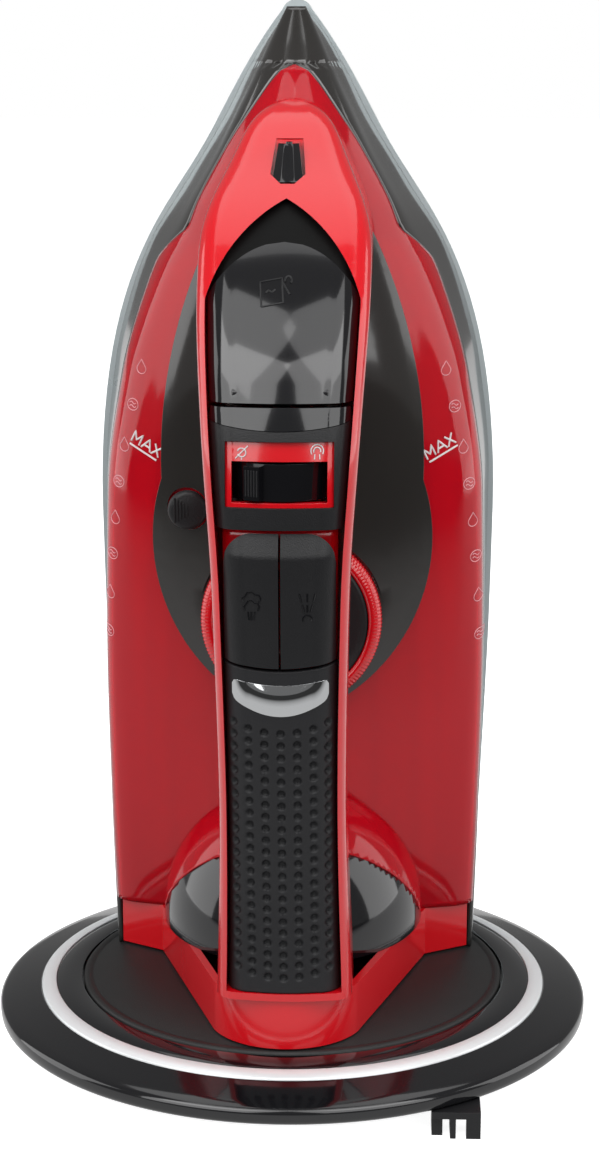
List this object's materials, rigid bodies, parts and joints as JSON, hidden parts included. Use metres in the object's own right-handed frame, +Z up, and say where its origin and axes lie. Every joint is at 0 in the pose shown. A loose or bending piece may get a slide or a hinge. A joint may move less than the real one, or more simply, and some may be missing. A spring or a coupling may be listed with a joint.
{
  "type": "cordless steam iron with power base",
  "caption": "Steam iron with a clear red water tank and looped handle, standing on its heel on a round glossy black power base.",
  "frame": {"origin": "centre of the power base's underside, on the surface it stands on", "axes": "+Z up through the iron's nose; -Y towards the handle; +Y towards the soleplate; +X to the right seen from the handle side"},
  "size_m": [0.176, 0.176, 0.3035],
  "materials": {
    "dock_gloss": "glossy black ABS",
    "dock_matte": "satin black plastic",
    "silver_trim": "satin silver ring",
    "inner_plastic": "heat resistant natural plastic",
    "contact_brass": "plain",
    "foot_rubber": "matte",
    "screw_steel": "zinc plated",
    "sole_coating": "pale ceramic non-stick coating",
    "cast_metal": "as cast",
    "element_steel": "drawn",
    "smoke_plastic": "smoky grey, glossy",
    "clear_red": "clear crimson plastic",
    "red_gloss": "opaque red, glossy",
    "black_gloss": "piano black",
    "black_matte": "fine satin black",
    "hose_rubber": "silicone",
    "clear_lens": "clear, faceted inside",
    "lamp_glass": "neon lamp",
    "grip_rubber": "soft touch, dimpled"
  },
  "bodies": {
    "base": {"base_top": "dock_gloss", "trim_ring": "silver_trim", "base_tray": "dock_matte", "glide_ring": "inner_plastic", "power_connector": "dock_matte", "connector_contacts": "contact_brass", "cord_guide": "dock_matte", "base_feet": "foot_rubber", "base_screws": "screw_steel"},
    "turntable": {"turntable": "dock_matte"},
    "door": {"inlet_door": "black_gloss"},
    "lever": {"steam_lever": "black_gloss"},
    "valve": {"valve_rod": "element_steel"},
    "steam_key": {"steam_button": "black_matte", "steam_piston": "inner_plastic"},
    "spray_key": {"spray_button": "black_matte", "spray_piston": "inner_plastic"},
    "dial": {"temperature_dial": "red_gloss", "dial_cap": "black_gloss", "dial_shaft": "inner_plastic"},
    "clean_key": {"self_clean_button": "black_matte"},
    "iron": {"soleplate": "sole_coating", "steam_chamber": "cast_metal", "chamber_cover": "cast_metal", "heating_element": "element_steel", "thermostat": "element_steel", "thermal_fuse": "inner_plastic", "heat_shield": "inner_plastic", "skirt": "smoke_plastic", "water_tank": "clear_red", "dial_panel": "smoke_plastic", "filler_neck": "inner_plastic", "neck_seal": "foot_rubber", "handle_frame": "red_gloss", "arch_bezel": "black_gloss", "handle_cover": "black_matte", "slider_bezel": "red_gloss", "spray_nozzle": "black_gloss", "nozzle_tip": "contact_brass", "steam_pump": "inner_plastic", "spray_pump": "inner_plastic", "spray_hose": "hose_rubber", "steam_hose": "hose_rubber", "indicator_lens": "clear_lens", "indicator_lamp": "lamp_glass", "grip_cover": "grip_rubber", "heel_band": "red_gloss", "heel_cover": "black_gloss", "heel_dome": "clear_red", "heel_plate": "black_matte", "socket_housing": "inner_plastic", "socket_contacts": "contact_brass", "heel_feet": "foot_rubber", "heel_screws": "screw_steel", "element_wires": "hose_rubber", "door_hinge_pin": "screw_steel", "valve_seat": "foot_rubber", "door_sill": "black_gloss"}
  },
  "joints": [
    {"name": "turntable_spin", "type": "hinge", "parent": "base", "child": "turntable", "pos_m": [0, 0, 0.016], "axis": [0, 0, 1], "continuous": true},
    {"name": "iron_lift", "type": "slide", "parent": "turntable", "child": "iron", "axis": [0, 0, 1], "range_m": [0, 0.06]},
    {"name": "door_hinge", "type": "hinge", "parent": "iron", "child": "door", "pos_m": [0, -0.0772, 0.205], "axis": [1, 0, 0], "range_deg": [0, 75]},
    {"name": "lever_turn", "type": "hinge", "parent": "iron", "child": "lever", "pos_m": [0, -0.0709, 0.1836], "axis": [0, 0, 1], "range_deg": [0, 50]},
    {"name": "valve_lift", "type": "slide", "parent": "iron", "child": "valve", "axis": [0, -1, 0], "range_m": [0, 0.003]},
    {"name": "steam_press", "type": "slide", "parent": "iron", "child": "steam_key", "axis": [0, 1, 0], "range_m": [0, 0.004], "stiffness_N_per_m": 600},
    {"name": "spray_press", "type": "slide", "parent": "iron", "child": "spray_key", "axis": [0, 1, 0], "range_m": [0, 0.004], "stiffness_N_per_m": 600},
    {"name": "dial_turn", "type": "hinge", "parent": "iron", "child": "dial", "pos_m": [0, -0.008, 0.128], "axis": [0, 1, 0], "range_deg": [0, 270]},
    {"name": "clean_press", "type": "slide", "parent": "iron", "child": "clean_key", "axis": [0, 1, 0], "range_m": [0, 0.003], "stiffness_N_per_m": 500}
  ],
  "couplings": [
    {"joint": "valve_lift", "follows": "lever_turn", "m_per_rad": 0.003438}
  ]
}
